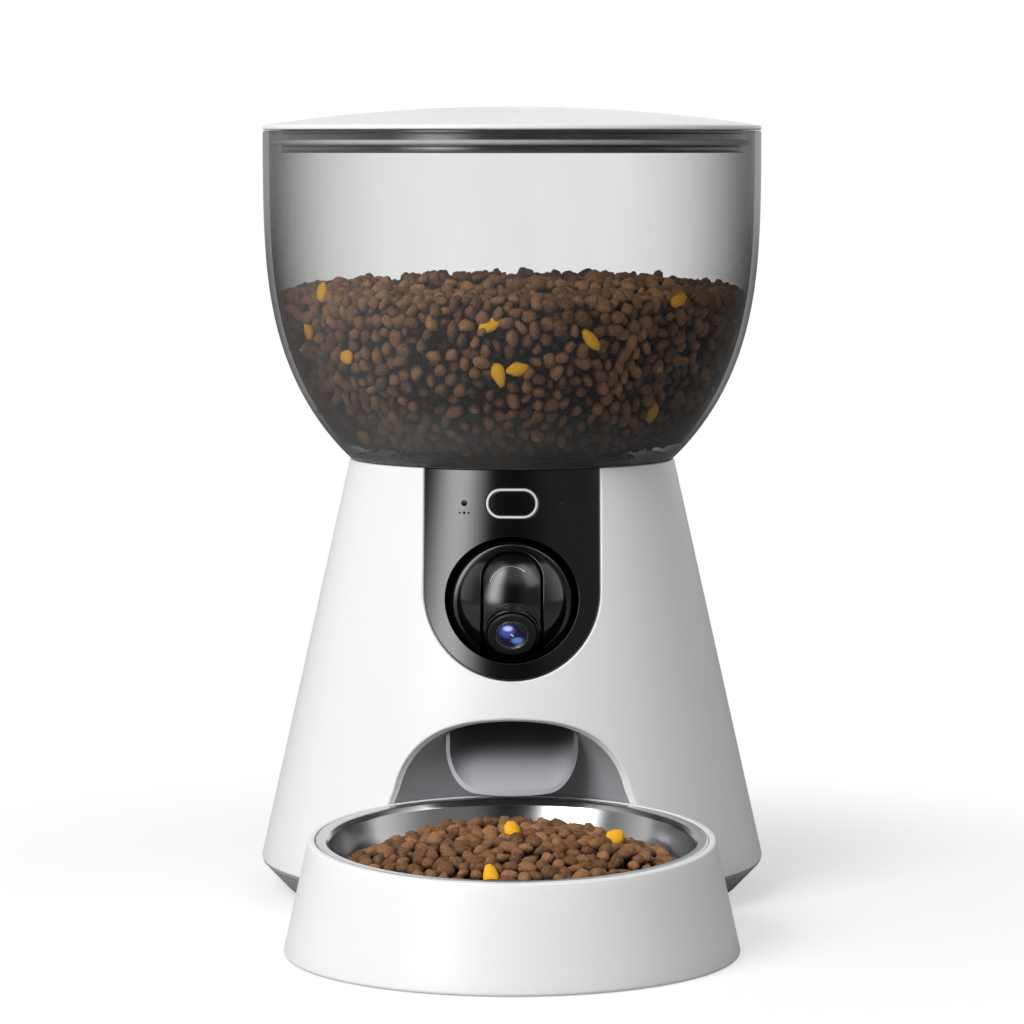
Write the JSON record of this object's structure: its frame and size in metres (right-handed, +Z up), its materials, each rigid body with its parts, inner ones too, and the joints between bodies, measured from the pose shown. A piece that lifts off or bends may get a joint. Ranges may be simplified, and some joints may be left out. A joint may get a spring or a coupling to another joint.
{
  "type": "pet feeder with camera",
  "caption": "Gravity pet feeder: clear round hopper on a tapered body, paddle-wheel dispenser and chute, pull-out holder with a steel bowl, and a pan and tilt camera ball in a black face plate.",
  "frame": {"origin": "middle of the footprint's box, on the table the feet stand on", "axes": "+Z up, the bowl and the camera face towards -Y, +X to the right when looking towards +Y"},
  "size_m": [0.2036, 0.3272, 0.3158],
  "materials": {
    "white_plastic": "satin",
    "grey_plastic": "satin",
    "dark_grey_plastic": "satin",
    "black_gloss": "polished",
    "black_plastic": "matt",
    "smoked_plastic": "clear, smoke grey",
    "acetal": "natural",
    "rubber": "matt",
    "silicone": "matt",
    "stainless": "polished inside",
    "steel": "plated",
    "circuit_board": "lacquered",
    "lens_glass": "coated",
    "light_plastic": "frosted",
    "sachet": "woven"
  },
  "bodies": {
    "housing": {"base_tray": "grey_plastic", "body_shell": "white_plastic", "recess_liner": "grey_plastic", "chute": "grey_plastic", "dispenser_housing": "dark_grey_plastic", "shaft_bush": "acetal", "gear_plate": "black_plastic", "gear_motor": "steel", "face_plate": "black_gloss", "light_ring": "light_plastic", "button_board": "circuit_board", "button_switch": "black_plastic", "microphone": "steel", "status_light": "light_plastic", "main_board": "circuit_board", "power_inlet": "black_plastic", "speaker": "black_plastic", "camera_cup": "black_plastic", "pan_motor": "steel", "rubber_foot_1": "rubber", "base_screw_1": "steel", "housing_screw_1": "steel", "rubber_foot_2": "rubber", "base_screw_2": "steel", "housing_screw_2": "steel", "rubber_foot_3": "rubber", "base_screw_3": "steel", "housing_screw_3": "steel", "rubber_foot_4": "rubber", "base_screw_4": "steel", "housing_screw_4": "steel"},
    "hopper": {"hopper": "smoked_plastic"},
    "lid": {"lid_shell": "white_plastic", "lid_skirt": "dark_grey_plastic", "lid_seal": "silicone", "desiccant_box": "white_plastic", "desiccant_pack": "sachet"},
    "rotor": {"portion_rotor": "silicone", "rotor_shaft": "steel", "drive_gear": "acetal"},
    "pinion": {"motor_pinion": "steel"},
    "camera_pan_head": {"pan_head": "black_gloss", "tilt_motor": "steel", "tilt_pin": "steel"},
    "camera_barrel": {"tilt_barrel": "black_gloss", "lens_tube": "black_plastic", "lens_bezel": "black_gloss", "lens_window": "lens_glass", "sensor_board": "circuit_board"},
    "button": {"feed_button": "black_gloss"},
    "bowl_holder": {"bowl_tray": "white_plastic", "steel_bowl": "stainless"}
  },
  "joints": [
    {"name": "hopper_lift", "type": "slide", "parent": "housing", "child": "hopper", "axis": [0, 0, 1], "range_m": [0, 0.08]},
    {"name": "lid_lift", "type": "slide", "parent": "hopper", "child": "lid", "axis": [0, 0, 1], "range_m": [0, 0.08]},
    {"name": "rotor_spin", "type": "hinge", "parent": "housing", "child": "rotor", "pos_m": [0, 0.06177, 0.16], "axis": [0, 0, 1], "continuous": true},
    {"name": "pinion_spin", "type": "hinge", "parent": "housing", "child": "pinion", "pos_m": [0, 0.07677, 0.14], "axis": [0, 0, 1], "continuous": true},
    {"name": "camera_pan", "type": "hinge", "parent": "housing", "child": "camera_pan_head", "pos_m": [0, 0.00177, 0.1233], "axis": [0, 0, 1], "range_deg": [-45, 45]},
    {"name": "camera_tilt", "type": "hinge", "parent": "camera_pan_head", "child": "camera_barrel", "pos_m": [0, 0.00177, 0.1233], "axis": [1, 0, 0], "range_deg": [-50, 8]},
    {"name": "feed_button_press", "type": "slide", "parent": "housing", "child": "button", "axis": [0, 1, 0], "range_m": [0, 0.0008], "stiffness_N_per_m": 400},
    {"name": "bowl_holder_pull", "type": "slide", "parent": "housing", "child": "bowl_holder", "axis": [0, -1, 0], "range_m": [0, 0.12]}
  ],
  "couplings": [
    {"joint": "pinion_spin", "follows": "rotor_spin", "ratio": -2}
  ]
}
